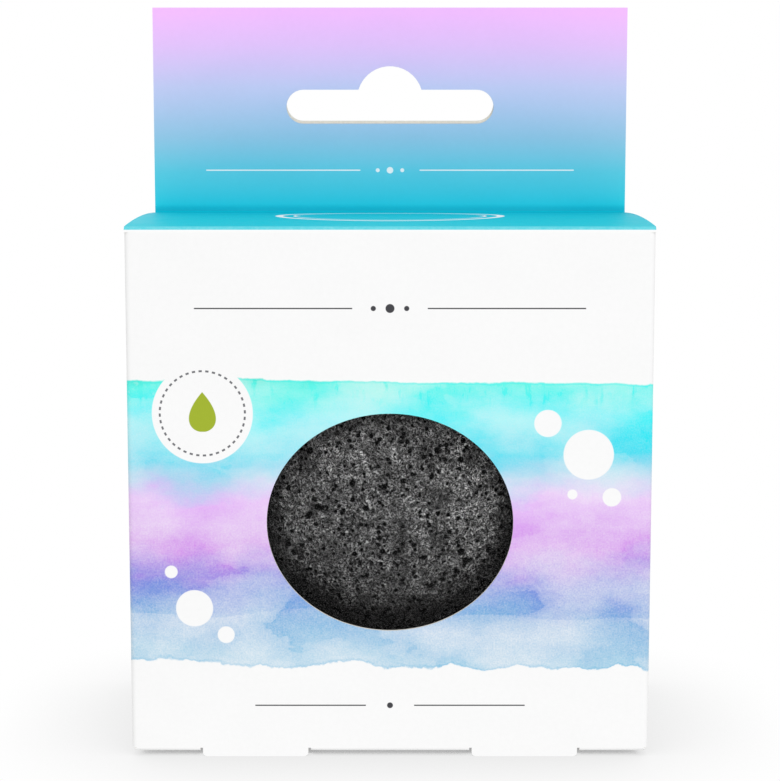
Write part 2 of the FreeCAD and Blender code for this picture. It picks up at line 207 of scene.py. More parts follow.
# The board: white paperboard, printed and satin-varnished outside and bare inside. Every panel is
# cut flat as a blank, creased, and folded, and its cut edges show the bare board.

BOARD = 0.45
CREASE = 0.8
HALF_WIDTH = 36.5
FRONT = -20.0
BACK = 20.0
ROOF = 74.87


def trace(bm, start, *moves):
    """Draws a closed outline on the flat. A move is (across, up) for a straight cut to there, or
    (centre across, centre up, degrees) for an arc, anticlockwise where they are positive."""
    pen = bm.verts.new((*start, 0))
    for move in moves:
        if len(move) == 2:
            pen = bmesh.ops.extrude_vert_indiv(bm, verts=[pen])["verts"][0]
            pen.co = (*move, 0)
            continue
        turn = bmesh.ops.spin(bm, geom=[pen], cent=(*move[:2], 0), axis=(0, 0, 1),
                              angle=math.radians(move[2]), steps=max(3, round(abs(move[2]) / 10)))
        pen = [item for item in turn["geom_last"] if isinstance(item, bmesh.types.BMVert)][0]


def cut_blank(outlines, across=(), up=(), oval=None):
    """A flat sheet inside the first outline and outside the others and the oval, scored along
    the given lines."""
    bm = bmesh.new()
    for outline in outlines:
        trace(bm, *outline)
    bmesh.ops.remove_doubles(bm, verts=bm.verts, dist=0.001)
    if oval:
        middle, reach = oval
        rim = bmesh.ops.create_circle(bm, segments=128, radius=1)["verts"]
        bmesh.ops.scale(bm, vec=(*reach, 1), verts=rim)
        bmesh.ops.translate(bm, vec=(*middle, 0), verts=rim)
    bmesh.ops.triangle_fill(bm, use_beauty=True, edges=bm.edges, normal=(0, 0, 1))
    for axis, lines in enumerate((across, up)):
        for line in lines:
            place = Vector((0, 0, 0))
            place[axis] = line
            way = Vector((0, 0, 0))
            way[axis] = 1
            bmesh.ops.bisect_plane(bm, geom=bm.verts[:] + bm.edges[:] + bm.faces[:], dist=0.0005,
                                   plane_co=place, plane_no=way)
    if sum(face.normal.z for face in bm.faces) < 0:
        bmesh.ops.reverse_faces(bm, faces=bm.faces)
    return bm


def crease_lines(at, radius=CREASE, steps=6):
    """Where a quarter-turn crease is scored, from the place where it starts. A negative radius
    makes it run the other way."""
    return [at + radius * math.pi / 2 * i / steps for i in range(steps + 1)]


def fold(bm, axis, at, radius, side, up=-1, only=lambda place: True):
    """Folds what lies past a line by a quarter turn. The side is which way from the line it lies,
    and up is 1 for a fold towards the printed face and -1 for one away from it."""
    arc = radius * math.pi / 2
    for vert in bm.verts:
        past = (vert.co[axis] - at) * side
        if past <= 1e-6 or not only(vert.co):
            continue
        angle = min(past, arc) / radius
        rest = max(past - arc, 0)
        vert.co[axis] = at + side * radius * math.sin(angle)
        vert.co.z += up * (radius * (1 - math.cos(angle)) + rest)


STANDING = Matrix.Rotation(math.radians(90), 4, "X")
FACING = {
    "front": STANDING,
    "right": Matrix.Rotation(math.radians(90), 4, "Z") @ STANDING,
    "back": Matrix.Rotation(math.radians(180), 4, "Z") @ STANDING,
    "left": Matrix.Rotation(math.radians(-90), 4, "Z") @ STANDING,
    "up": Matrix.Identity(4),
    "down": Matrix.Rotation(math.radians(180), 4, "X"),
}
SHARP = 35


def make_board(name, bm, facing, level, body, outside, soften=()):
    """Gives a folded blank the board's thickness, stands it with its outer face at the level
    that it faces, and makes it the piece for the node of the same name. The edges that run
    through the given places are softened."""
    bmesh.ops.translate(bm, verts=bm.verts, vec=(0, 0, level))
    bmesh.ops.transform(bm, matrix=Matrix.Scale(MM, 4) @ FACING[facing], verts=bm.verts)
    mesh = bpy.data.meshes.new("blank")
    bm.to_mesh(mesh)
    bm.free()
    for finish in (outside, bare_side, cut_edge):
        mesh.materials.append(finish)
    piece = bpy.data.objects.new(name + "_board", mesh)
    scene.collection.objects.link(piece)
    thickness = piece.modifiers.new("thickness", "SOLIDIFY")
    thickness.thickness = BOARD * MM
    thickness.offset = -1
    thickness.use_even_offset = True
    thickness.material_offset = 1
    thickness.material_offset_rim = 2
    view = bpy.context.evaluated_depsgraph_get()
    piece.data = bpy.data.meshes.new_from_object(piece.evaluated_get(view))
    piece.data.name = piece.name
    piece.modifiers.clear()
    bpy.data.meshes.remove(mesh)
    if soften:
        soften_edges(piece.data, *soften)
    piece.data.shade_smooth()
    piece.data.set_sharp_from_angle(angle=math.radians(SHARP))
    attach(piece, body)
    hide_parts(name)


def soften_edges(mesh, radius, *places):
    """Rounds every sharp edge whose middle lies on one of the places, each a list of wanted x, y
    and z in millimetres with None for any, and takes the print round it, as on a crease."""
    bm = bmesh.new()
    bm.from_mesh(mesh)
    chosen = []
    for edge in bm.edges:
        if edge.calc_face_angle(0) < math.radians(SHARP):
            continue
        middle = (edge.verts[0].co + edge.verts[1].co) / 2 / MM
        for place in places:
            if all(want is None or abs(middle[i] - want) < 0.02 for i, want in enumerate(place)):
                chosen.append(edge)
                for face in edge.link_faces:
                    face.material_index = 0
    bmesh.ops.bevel(bm, geom=chosen, affect="EDGES", offset=radius * MM, segments=4, profile=0.5,
                    material=-1)
    bm.to_mesh(mesh)
    bm.free()


# Its finishes. The print is laid out in millimetres on the standing carton, so a pattern runs
# round a crease without a break.

WHITE = rgb(247, 247, 247)
BARE = rgb(226, 222, 213)


def new_finish(name, **fixed):
    """A finish, its first value and its shader, with the sockets that are the same all over."""
    finish = bpy.data.materials.new(name)
    finish.use_nodes = True
    shader = finish.node_tree.nodes["Principled BSDF"]
    for socket, value in fixed.items():
        shader.inputs[socket.replace("_", " ")].default_value = value
    return finish, Ink(finish.node_tree), shader


def place_on(start):
    """The place on the object, in millimetres."""
    return start.node("TexCoord", out="Object").vector_maths("MULTIPLY", (1000, 1000, 1000))


def split(place):
    """How far across, back and up the place is."""
    parts = place.node("SeparateXYZ", {0: place}).socket.node
    return [Ink(place.tree, parts.outputs[i]) for i in range(3)]


def cloud(place, scale, detail=2, roughness=0.5, stretch=(1, 1, 1)):
    """Soft noise about 0, mostly within a half either way, with scale features a millimetre."""
    spot = place.vector_maths("MULTIPLY", [share * scale for share in stretch])
    return place.node("TexNoise", {"Vector": spot, "Scale": 1, "Detail": detail,
                                   "Roughness": roughness}) - 0.5


def emboss(height, strength, depth=1.0):
    """A normal for a surface that rises by the height, times the depth in millimetres."""
    return height.node("Bump", {"Height": height, "Strength": strength, "Distance": depth * MM})


def printed_board(name, artwork, gloss=0.2):
    """Varnished print on coated board. The artwork turns the place into a colour."""
    finish, start, shader = new_finish(name, IOR=1.45, Specular_IOR_Level=gloss)
    place = place_on(start)
    colour = artwork(place, *split(place))
    mottle = cloud(place, 1.3, 3) * 0.035 + cloud(place, 9, 2) * 0.02
    start.node("Mix", {0: 1.0, 6: colour, 7: (0.988 + mottle).grey()}, 2, data_type="RGBA",
               blend_type="MULTIPLY").feed(shader, "Base Color")
    (0.46 + cloud(place, 0.7, 3) * 0.12).feed(shader, "Roughness")
    waves = cloud(place, 0.09, 1) * 1.2
    tooth = cloud(place, 2.2, 3, 0.6) * 0.02 + cloud(place, 11, 2) * 0.006
    emboss(waves + tooth, 0.35).feed(shader, "Normal")
    return finish


def bare_board(name, colour, contrast):
    """Uncoated board: level and upright fibres, and specks. They show most on a cut edge."""
    finish, start, shader = new_finish(name, Specular_IOR_Level=0.25)
    place = place_on(start)
    level, upright = cloud(place, 3, 4, 0.65, (0.25, 1, 1)), cloud(place, 3, 4, 0.65, (1, 1, 0.25))
    fibres = (level + upright) * 0.5
    specks = cloud(place, 5, 1).rise(0.2, 0.26) * 0.35
    grain = (0.5 + fibres * contrast + specks).rise(0, 1)
    dark = [part * 0.8 for part in colour[:3]] + [1]
    light = [min(part * 1.12, 0.95) for part in colour[:3]] + [1]
    grain.over(light, dark).feed(shader, "Base Color")
    (0.86 + fibres * 0.15).feed(shader, "Roughness")
    emboss(fibres + cloud(place, 9, 2) * 0.4, 0.5, 0.05).feed(shader, "Normal")
    return finish


bare_side = bare_board("bare_side", BARE, 0.9)
cut_edge = bare_board("cut_edge", rgb(232, 229, 222), 1.6)


# The wash of colour round the carton: aqua, lilac and blue bands in gentle waves, with the denser
# rims and pale blooms of watercolour. White bubbles rise through it on the front.

WASH_TOP = 53.6
WASH_FOOT = 13.2
GLAZE_FOOT = 20.5
BUBBLES = ((27.6, 43.2, 3.5), (21.9, 47.6, 1.9), (30.9, 37.2, 1.3), (25.4, 37.6, 0.7),
           (-27.4, 21.4, 2.6), (-23.0, 17.6, 1.2), (-30.6, 26.6, 0.9))
BADGE = (-26.0, 49.0, 7.0)
BEADS_RADIUS = 5.9
DROP_FOOT, DROP_HEIGHT = -2.6, 5.6
TITLE_RULE = (63.6, 5.2, 27.0, ((0, 0.62), (2.3, 0.36)))
LOWER_RULE = (7.4, 3.4, 19.0, ((0, 0.42),))
DARK_INK = rgb(66, 66, 70)
GREY_INK = rgb(112, 112, 116)
GREEN_INK = rgb(160, 178, 46)


def wash(place, x, y, z):
    """The colour of the standing carton's wash at each place, on white."""
    drift = cloud(place, 0.035, 1) * 9
    curl = cloud(place, 0.16, 3, 0.55) * 3.4
    ragged = cloud(place, 1.1, 4, 0.6) * 1.1
    below_top = WASH_TOP + drift * 0.35 + curl * 0.3 + ragged * 0.35 - z
    above_foot = z - WASH_FOOT + drift * 0.4 + curl * 1.1 + ragged * 0.8
    inside = below_top.least(above_foot)
    body = inside.rise(0, 0.3)
    level = (z + drift + curl + cloud(place, 0.35, 6, 0.62, (0.5, 0.5, 1)) * 5) / 60
    hue = place.node("ValToRGB", {0: level}, stops=(
        (0.24, rgb(136, 194, 224)), (0.33, rgb(106, 168, 218)), (0.41, rgb(122, 140, 220)),
        (0.50, rgb(206, 136, 232)), (0.59, rgb(224, 174, 244)), (0.65, rgb(160, 208, 236)),
        (0.71, rgb(34, 218, 238)), (0.80, rgb(48, 238, 244)), (0.88, rgb(96, 244, 232)),
        (0.95, rgb(30, 222, 200))))
    rim = inside.rise(0.55, 0.05)
    feather = below_top.rise(5.0, 0.3) * cloud(place, 0.6, 4, 0.65, (1, 1, 0.35)).rise(0.02, 0.24)
    pool = cloud(place, 0.1, 5, 0.55, (0.55, 0.55, 1))
    shore = pool + cloud(place, 0.9, 3) * 0.05
    tide = shore.rise(0.045, 0.055) * shore.rise(0.12, 0.055)
    tide = tide * cloud(place, 0.08, 1).rise(-0.05, 0.15)
    glaze = (z - GLAZE_FOOT + drift * 0.8 + ragged * 0.4).rise(-0.12, 0.12)
    blue = z.rise(46, 24)
    grain = cloud(place, 4.2, 2, 0.6) * (0.26 + blue * 0.4)
    grain = grain + cloud(place, 1.5, 2) * (0.08 + blue * 0.16)
    strength = 0.28 + pool.rise(-0.18, 0.2) * 0.46 + glaze * 0.14 + rim * 0.36 + feather * 0.42
    strength = strength + tide * 0.14 + blue * 0.08 + z.rise(36, 45) * 0.1 + grain
    return (strength.least(1) * body).over(WHITE, hue)


def mark(distance, size, soft=0.05):
    """1 where the distance is under the size."""
    return distance.rise(size + soft, size - soft)


def distance_to(x, z, across, up):
    """How far a place on a standing panel is from a point."""
    aside = x - across
    above = z - up
    return (aside * aside + above * above).maths("SQRT")


def divider(x, z, up, inner, outer, dots):
    """A mask for a printed divider: two hairlines with a row of dots between them."""
    line = mark((z - up).size(), 0.09, 0.03) * mark((x.size() - (inner + outer) / 2).size(),
                                                    (outer - inner) / 2)
    for across, size in dots:
        line = line.most(mark(distance_to(x.size(), z, across, up), size))
    return line


def front_artwork(place, x, y, z):
    colour = wash(place, x, y, z)
    for across, up, size in BUBBLES:
        colour = mark(distance_to(x, z, across, up), size, 0.08).over(colour, WHITE)
    across, up, size = BADGE
    reach = distance_to(x, z, across, up)
    colour = mark(reach, size).over(colour, WHITE)
    turn = (z - up).maths("ARCTAN2", x - across)
    beads = mark((reach - BEADS_RADIUS).size(), 0.14) * (turn * 40).maths("SINE").rise(-0.2, 0.2)
    colour = beads.over(colour, GREY_INK)
    climb = (z - (up + DROP_FOOT)) / DROP_HEIGHT
    belly = climb.most(0).maths("SQRT") * (1 - climb) * 4.9
    drop = (belly - (x - across).size()).rise(-0.04, 0.06) * climb.rise(0, 0.01)
    colour = drop.over(colour, GREEN_INK)
    rules = divider(x, z, *TITLE_RULE).most(divider(x, z, *LOWER_RULE))
    return rules.over(colour, DARK_INK)


front_print = printed_board("front_print", front_artwork)
wall_print = printed_board("wall_print", wash)


# The front: one panel with both its side creases, the oval window punched in it, and the two feet
# that run on below its lower crease where the closure is slit.

CREASE_LENGTH = CREASE * math.pi / 2
FLAT = HALF_WIDTH - CREASE
WIDE = FLAT + CREASE_LENGTH
FOOT_NEAR, FOOT_FAR, FOOT_CORNER = 11.55, 26.45, 0.55
FRONT_FOOT = 1.22
WALL_FOOT, WALL_TOP = 1.82, 73.47
CORNER_FOOT = 1.27
FRONT_TOP = 74.07
WINDOW_MIDDLE = (0, 33.57)
WINDOW_REACH = (17.2, 15.4)


def foot_outline(left, right):
    """The moves round one foot, from its left edge to its right one."""
    return [(left, FRONT_FOOT), (left, FOOT_CORNER), (left + FOOT_CORNER, FOOT_CORNER, 90),
            (right - FOOT_CORNER, 0), (right - FOOT_CORNER, FOOT_CORNER, 90), (right, FRONT_FOOT)]


front_outline = [(-FLAT, FRONT_FOOT), *foot_outline(-FOOT_FAR, -FOOT_NEAR),
                 *foot_outline(FOOT_NEAR, FOOT_FAR), (FLAT, FRONT_FOOT), (WIDE, CORNER_FOOT),
                 (WIDE, FRONT_TOP), (-WIDE, FRONT_TOP), (-WIDE, CORNER_FOOT), (-FLAT, FRONT_FOOT)]
blank = cut_blank([front_outline], oval=(WINDOW_MIDDLE, WINDOW_REACH),
                  across=crease_lines(FLAT) + crease_lines(-FLAT, -CREASE))
for side in (1, -1):
    fold(blank, 0, side * FLAT, CREASE, side)
make_board("front_panel", blank, "front", -FRONT, "root", front_print)


# The sides: plain walls. Held only at their creases, they draw in a little in the middle. Their
# corners reach past the creases of the dust flaps, and close the carton there.

SIDE_BOW = 0.3
SIDE_FRONT, SIDE_BACK, LEFT_SIDE_BACK = -19.2, 19.2, 18.65
TOP_CREASE = (-18.5, 17.95)
BOTTOM_CREASE = (-18.7, 16.25)


def bow(bm, depth, across, up):
    """Draws the middle of a blank in or out, between two lines each way that stay in place."""
    for vert in bm.verts:
        shares = []
        for place, (low, high) in zip(vert.co, (across, up)):
            shares.append(1 - ((2 * place - low - high) / (high - low)) ** 2)
        vert.co.z += depth * max(shares[0], 0) * max(shares[1], 0)


for facing, way, start, end in (("left", -1, -LEFT_SIDE_BACK, -SIDE_FRONT),
                                ("right", 1, SIDE_FRONT, SIDE_BACK)):
    top_low, top_high = sorted(way * place for place in TOP_CREASE)
    foot_low, foot_high = sorted(way * place for place in BOTTOM_CREASE)
    wall = [(start, CORNER_FOOT), (foot_low, CORNER_FOOT), (foot_low, WALL_FOOT),
            (foot_high, WALL_FOOT), (foot_high, CORNER_FOOT), (end, CORNER_FOOT),
            (end, FRONT_TOP), (top_high, FRONT_TOP), (top_high, WALL_TOP),
            (top_low, WALL_TOP), (top_low, FRONT_TOP), (start, FRONT_TOP), (start, CORNER_FOOT)]
    blank = cut_blank([wall], across=np.linspace(start, end, 14)[1:-1],
                      up=np.linspace(WALL_FOOT, WALL_TOP, 24)[1:-1])
    bow(blank, -SIDE_BOW, (start, end), (WALL_FOOT, WALL_TOP))
    make_board(facing + "_side_panel", blank, facing, HALF_WIDTH, "root", wall_print)


# The back and the header's rear layer: one panel that turns the corner into the right side, stops
# at a cut edge near the left one, and runs up past the roof. The hanging slot is punched in it a
# little higher than in the layer in front.

HEADER_TOP = 106.27
SLOT_LEVEL, PLY_SHIFT = 91.17, 0.45
SLOT_END, SLOT_RADIUS = 13.4, 2.6
HUMP_HALF, HUMP_RISE, HUMP_TURN = 4.874, 1.1, 145.8
SEAM_EDGE = 36.2
BACK_FOOT = 0.77
SLIT = 0.02

AQUA_INK = rgb(20, 207, 228)
PAINTED_FOLD_SHADE = rgb(4, 176, 200)
FADE_FOOT, FADE_HEIGHT = 75, 32
HEADER_RULE = (81.4, 4.6, 28.5, ((0, 0.5), (1.9, 0.3)))


def slot_outline(level):
    low, high = level - SLOT_RADIUS, level + SLOT_RADIUS
    return [(-SLOT_END, low), (SLOT_END, low), (SLOT_END, level, 180), (HUMP_HALF, high),
            (0, level + HUMP_RISE, HUMP_TURN), (-SLOT_END, high), (-SLOT_END, level, 180)]


def header_fade(place, z):
    """The header's print: lilac at the top, through pale blue, to aqua at the fold."""
    level = (z - FADE_FOOT) / FADE_HEIGHT
    return place.node("ValToRGB", {0: level}, stops=(
        (0.02, AQUA_INK), (0.19, rgb(92, 206, 228)), (0.36, rgb(150, 200, 230)),
        (0.60, rgb(199, 205, 244)), (0.80, rgb(234, 196, 251)), (0.95, rgb(250, 191, 255))))


def header_artwork(place, x, y, z):
    # Painted shade: the foot of the header, where it rises from the roof's back fold, is painted
    # darker.
    colour = (z.rise(76.3, 75.3) * 0.7).over(header_fade(place, z), PAINTED_FOLD_SHADE)
    return divider(x, z, *HEADER_RULE).over(colour, WHITE)


def back_artwork(place, x, y, z):
    edge = z.rise(ROOF - 0.02, ROOF + 0.02)
    return edge.over(wash(place, x, y, z), header_fade(place, z))


header_print = printed_board("header_print", header_artwork)
back_print = printed_board("back_print", back_artwork)

back_outline = [(-FLAT, BACK_FOOT), (SEAM_EDGE, BACK_FOOT), (SEAM_EDGE, FRONT_TOP),
                (HALF_WIDTH, FRONT_TOP), (HALF_WIDTH, HEADER_TOP), (-HALF_WIDTH, HEADER_TOP),
                (-HALF_WIDTH, FRONT_TOP + SLIT), (-FLAT, FRONT_TOP + SLIT), (-FLAT, FRONT_TOP),
                (-WIDE, FRONT_TOP), (-WIDE, CORNER_FOOT), (-FLAT, BACK_FOOT)]
blank = cut_blank([back_outline, slot_outline(SLOT_LEVEL + PLY_SHIFT)],
                  across=crease_lines(-FLAT, -CREASE))
fold(blank, 0, -FLAT, CREASE, -1, only=lambda place: place.y < FRONT_TOP + SLIT / 2)
make_board("back_panel", blank, "back", BACK, "root", back_print)


# The seam flap: the left side's back edge turns the corner at its full height, tapers, and is
# glued inside the back.

SEAM_FAR, SEAM_FOOT, SEAM_TOP, SEAM_TAPER = 24.5, 3.42, 71.87, 3.0
SEAM_RELIEF = 0.8
SEAM_LEVEL = 19.45

seam_outline = [(SEAM_FAR, SEAM_FOOT + SEAM_TAPER), (FLAT - SEAM_RELIEF, SEAM_FOOT),
                (FLAT, CORNER_FOOT), (WIDE, CORNER_FOOT), (WIDE, FRONT_TOP), (FLAT, FRONT_TOP),
                (FLAT - SEAM_RELIEF, SEAM_TOP), (SEAM_FAR, SEAM_TOP - SEAM_TAPER),
                (SEAM_FAR, SEAM_FOOT + SEAM_TAPER)]
blank = cut_blank([seam_outline], across=crease_lines(FLAT))
fold(blank, 0, FLAT, CREASE, 1)
make_board("seam_flap", blank, "back", SEAM_LEVEL, "root", wall_print)


# The roof: turns back from the front's top crease, bows up over the flaps below it, and turns up
# at the back in a tight fold. Its front crease is painted paler, partly as aqua ink rubbed thin
# there and partly as a painted highlight on the round of the crease, and towards the back fold it
# is painted darker, as painted shade where the header rises over it.

ROOF_FRONT, ROOF_BACK = -19.2, 18.8
ROOF_CROWN = 0.45
ROOF_INK = rgb(0, 200, 217)
INK_EDGE = 74.42
TIGHT_FOLD = 0.2
OVAL_MIDDLE, OVAL_REACH = -0.5, (16.2, 10.5)
RUBBED_INK_AND_HIGHLIGHT = rgb(170, 236, 242)


def roof_artwork(place, x, y, z):
    # Painted shade: the roof is painted darker towards its back fold, where the header rises over
    # it.
    colour = (y.rise(-12, 19) * 0.7).over(ROOF_INK, PAINTED_FOLD_SHADE)
    # The front crease is painted paler: partly aqua ink rubbed thin, partly a painted highlight on
    # the round of the crease.
    rubbed_ink_and_highlight = y.rise(-18.8, -19.8) * (0.35 + cloud(place, 1.6, 4) * 0.5)
    colour = rubbed_ink_and_highlight.over(colour, RUBBED_INK_AND_HIGHLIGHT)
    colour = z.rise(INK_EDGE + 0.03, INK_EDGE - 0.03).over(colour, WHITE)
    aside, back = x / OVAL_REACH[0], (y - OVAL_MIDDLE) / OVAL_REACH[1]
    reach = (aside * aside + back * back).maths("SQRT")
    rings = mark((reach - 1).size(), 0.034, 0.006).most(mark((reach - 0.86).size(), 0.012, 0.005))
    return rings.over(colour, WHITE)


roof_print = printed_board("roof_print", roof_artwork, gloss=0.05)
roof_start, roof_end = ROOF_FRONT - CREASE_LENGTH, ROOF_BACK + TIGHT_FOLD * math.pi / 2
roof_outline = [(-HALF_WIDTH, roof_start), (HALF_WIDTH, roof_start), (HALF_WIDTH, roof_end),
                (-HALF_WIDTH, roof_end), (-HALF_WIDTH, roof_start)]
blank = cut_blank([roof_outline], up=[*crease_lines(ROOF_FRONT, -CREASE),
                                      *crease_lines(ROOF_BACK, TIGHT_FOLD),
                                      *np.linspace(ROOF_FRONT, ROOF_BACK, 20)[1:-1]])
roof_middle, roof_half = (ROOF_FRONT + ROOF_BACK) / 2, (ROOF_BACK - ROOF_FRONT) / 2
for vert in blank.verts:
    vert.co.z = ROOF_CROWN * max(0, 1 - ((vert.co.y - roof_middle) / roof_half) ** 2)
fold(blank, 1, ROOF_FRONT, CREASE, -1)
fold(blank, 1, ROOF_BACK, TIGHT_FOLD, 1, up=1)
make_board("top_panel", blank, "up", ROOF, "root", roof_print)


# The header's front layer: goes up from the roof's back fold in front of the rear layer, which is
# glued to it.

HEADER_FOOT = ROOF + TIGHT_FOLD
HEADER_LEVEL = 19.0

header_outline = [(-HALF_WIDTH, HEADER_FOOT), (HALF_WIDTH, HEADER_FOOT), (HALF_WIDTH, HEADER_TOP),
                  (-HALF_WIDTH, HEADER_TOP), (-HALF_WIDTH, HEADER_FOOT)]
blank = cut_blank([header_outline, slot_outline(SLOT_LEVEL)])
make_board("header_front", blank, "front", -HEADER_LEVEL, "root", header_print)


# The top dust flaps: each side's top crease turns in under the roof, and the flap tapers to a free
# end there.

FLAP_LEVEL = 74.27
FLAP_END, FLAP_TAPER = 12.5, 3.0
FLAP_FRONT, FLAP_BACK = -18.35, 17.8

flap_outline = [(FLAP_END, FLAP_FRONT + FLAP_TAPER), (FLAT, FLAP_FRONT), (WIDE, FLAP_FRONT),
                (WIDE, FLAP_BACK), (FLAT, FLAP_BACK), (FLAP_END, FLAP_BACK - FLAP_TAPER),
                (FLAP_END, FLAP_FRONT + FLAP_TAPER)]
for name, side in (("top_dust_flap_left", -1), ("top_dust_flap_right", 1)):
    blank = cut_blank([[(side * across, up) for across, up in flap_outline]],
                      across=crease_lines(side * FLAT, side * CREASE))
    fold(blank, 0, side * FLAT, CREASE, side)
    make_board(name, blank, "up", FLAP_LEVEL, "root", wall_print)


# The bottom dust flaps: each hangs from its side's lower edge and lies on the closure, with its
# front edge mitred and its free corners rounded.

DUST_LEVEL = 1.37
DUST_END = 15.5
DUST_FRONT, DUST_MITRE = -18.5, -1.5
DUST_BACK, DUST_BACK_END = 16.05, 12.05
DUST_RADIUS = 3.0
EDGE_RADIUS = 0.4


def round_corner(before, corner, after, radius):
    """The moves that go round a corner between its two neighbours with an arc."""
    corner = Vector(corner)
    back, on = (Vector(before) - corner).normalized(), (Vector(after) - corner).normalized()
    half = back.angle(on) / 2
    start = corner + back * radius / math.tan(half)
    centre = corner + (back + on).normalized() * radius / math.sin(half)
    turn = 180 - math.degrees(2 * half)
    left = back.x * on.y - back.y * on.x < 0
    return [tuple(start), (*centre, turn if left else -turn)]


for hand, side in (("left", -1), ("right", 1)):
    corners = [(side * HALF_WIDTH, -DUST_FRONT), (side * DUST_END, -DUST_MITRE),
               (side * DUST_END, -DUST_BACK_END), (side * HALF_WIDTH, -DUST_BACK)]
    blank = cut_blank([[corners[0], *round_corner(*corners[0:3], DUST_RADIUS),
                        *round_corner(*corners[1:4], DUST_RADIUS), corners[3], corners[0]]])
    make_board("bottom_dust_flap_" + hand, blank, "down", -DUST_LEVEL, hand + "_dust",
               wall_print, (EDGE_RADIUS, (side * HALF_WIDTH, None, DUST_LEVEL)))


# The bottom closure: hangs from the front's lower crease, with a notch round each foot, and ends
# in the tuck flap, which goes up inside the back.

CLOSURE_SIDE = 36.1
CLOSURE_BACK = 18.5
NOTCH_NEAR, NOTCH_FAR, NOTCH_BACK = 11.2, 26.8, -18.35
TUCK_SIDE, TUCK_FOOT, TUCK_TOP, TUCK_RADIUS = 35.05, 1.22, 12.77, 5.0
TUCK_EASE = 0.02  # It stands this far proud of the closure's rear edge, so it can fold down flat.

right_half = [(NOTCH_NEAR, -FRONT), (NOTCH_NEAR, -NOTCH_BACK), (NOTCH_FAR, -NOTCH_BACK),
              (NOTCH_FAR, -FRONT), (CLOSURE_SIDE, -FRONT), (CLOSURE_SIDE, -CLOSURE_BACK)]
left_half = [(-across, up) for across, up in reversed(right_half)]
blank = cut_blank([[*right_half, *left_half, right_half[0]]])
make_board("bottom_closure", blank, "down", -BACK_FOOT, "closure", wall_print,
           (EDGE_RADIUS, (None, FRONT, BACK_FOOT), (None, CLOSURE_BACK, BACK_FOOT)))

tuck_corners = [(-TUCK_SIDE, TUCK_FOOT), (TUCK_SIDE, TUCK_FOOT), (TUCK_SIDE, TUCK_TOP),
                (-TUCK_SIDE, TUCK_TOP), (-TUCK_SIDE, TUCK_FOOT)]
blank = cut_blank([[*tuck_corners[0:2], *round_corner(*tuck_corners[1:4], TUCK_RADIUS),
                    *round_corner(*tuck_corners[2:5], TUCK_RADIUS), tuck_corners[0]]])
make_board("tuck_flap", blank, "back", CLOSURE_BACK + TUCK_EASE, "tuck", wall_print)


# The window film: clear film behind the oval, held by a frame of glue. The same glue closes the
# side seam and joins the header's two layers.

def refinish(node, finish):
    """Gives a piece of the frame that keeps its own shape a better finish."""
    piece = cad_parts[node]
    piece.data.materials.clear()
    piece.data.materials.append(finish)


GLEAM, HAZE = 0.85, 0.003

clear_film, start, shader = new_finish("clear_film", Metallic=1.0, Base_Color=(1, 1, 1, 1))
place = place_on(start)
ripples = emboss(cloud(place, 0.05, 2) * 0.4 + cloud(place, 0.4, 2) * 0.01, 0.25)
ripples.feed(shader, "Normal")
(0.045 + cloud(place, 0.8, 3) * 0.03).feed(shader, "Roughness")
facing = start.node("LayerWeight", {"Blend": 0.5, "Normal": ripples}, 1)
(facing.maths("POWER", 5) * GLEAM + HAZE).feed(shader, "Alpha")
refinish("window_film", clear_film)

glue_finish, start, shader = new_finish("dried_glue", Base_Color=rgb(226, 222, 205), Alpha=0.6)
place = place_on(start)
(0.32 + cloud(place, 0.6, 3) * 0.3).feed(shader, "Roughness")
emboss(cloud(place, 0.9, 4), 0.6, 0.1).feed(shader, "Normal")
for node in ("window_adhesive", "seam_adhesive", "header_adhesive"):
    refinish(node, glue_finish)


# The sponge: konjac foam with charcoal, cast in one piece as a dome with a flat back. Small round
# pores open all over it, with a web of fine ridges between them. It stands loose in the carton.

SPONGE_AXIS = 35.97
SPONGE_FRONT, SPONGE_BACK = -18.15, 17.65
SPONGE_RADIUS = 33.85
WIDEST = 8.15
CROWN_RADIUS, SHOULDER_RADIUS, RIM_RADIUS = 37.3, 18.0, 9.5
SEEN_RADIUS, SEEN_WEIGHT = 21.5, 6.0
SPONGE_LEVELS = 8
PORE_KINDS = ((0.4, 0.52, 60), (0.25, 0.36, 1150), (0.14, 0.22, 6000))
LIP_HEIGHT = 0.05
SKIN_DEPTH, LUMP_DEPTH, WEB_DEPTH = 0.28, 0.3, 0.15

rng = np.random.default_rng(20)
noise.seed_set(20)


def ease(value, low, high):
    """Goes smoothly from 0 at low to 1 at high."""
    share = np.clip((value - low) / (high - low), 0, 1)
    return share * share * (3 - 2 * share)


def dome_profile():
    """Points from the middle of the crown, over the shoulder and the rim, to the middle of the
    back: how far each is from the axis, and its place from front to back."""
    shoulder_middle = SPONGE_RADIUS - SHOULDER_RADIUS
    blend = math.asin(shoulder_middle / (CROWN_RADIUS - SHOULDER_RADIUS))
    crown = np.linspace(0, blend, 200)
    shoulder = np.linspace(blend, math.pi / 2, 200)[1:]
    rim = np.linspace(0, math.pi / 2, 80)[1:]
    back = np.linspace(SPONGE_RADIUS - RIM_RADIUS, 0, 200)[1:]
    out = [CROWN_RADIUS * np.sin(crown),
           shoulder_middle + SHOULDER_RADIUS * np.sin(shoulder),
           SPONGE_RADIUS - RIM_RADIUS * (1 - np.cos(rim)),
           back]
    along = [SPONGE_FRONT + CROWN_RADIUS * (1 - np.cos(crown)),
             WIDEST - SHOULDER_RADIUS * np.cos(shoulder),
             WIDEST + RIM_RADIUS * np.sin(rim),
             np.full(len(back), SPONGE_BACK)]
    return np.concatenate(out), np.concatenate(along)


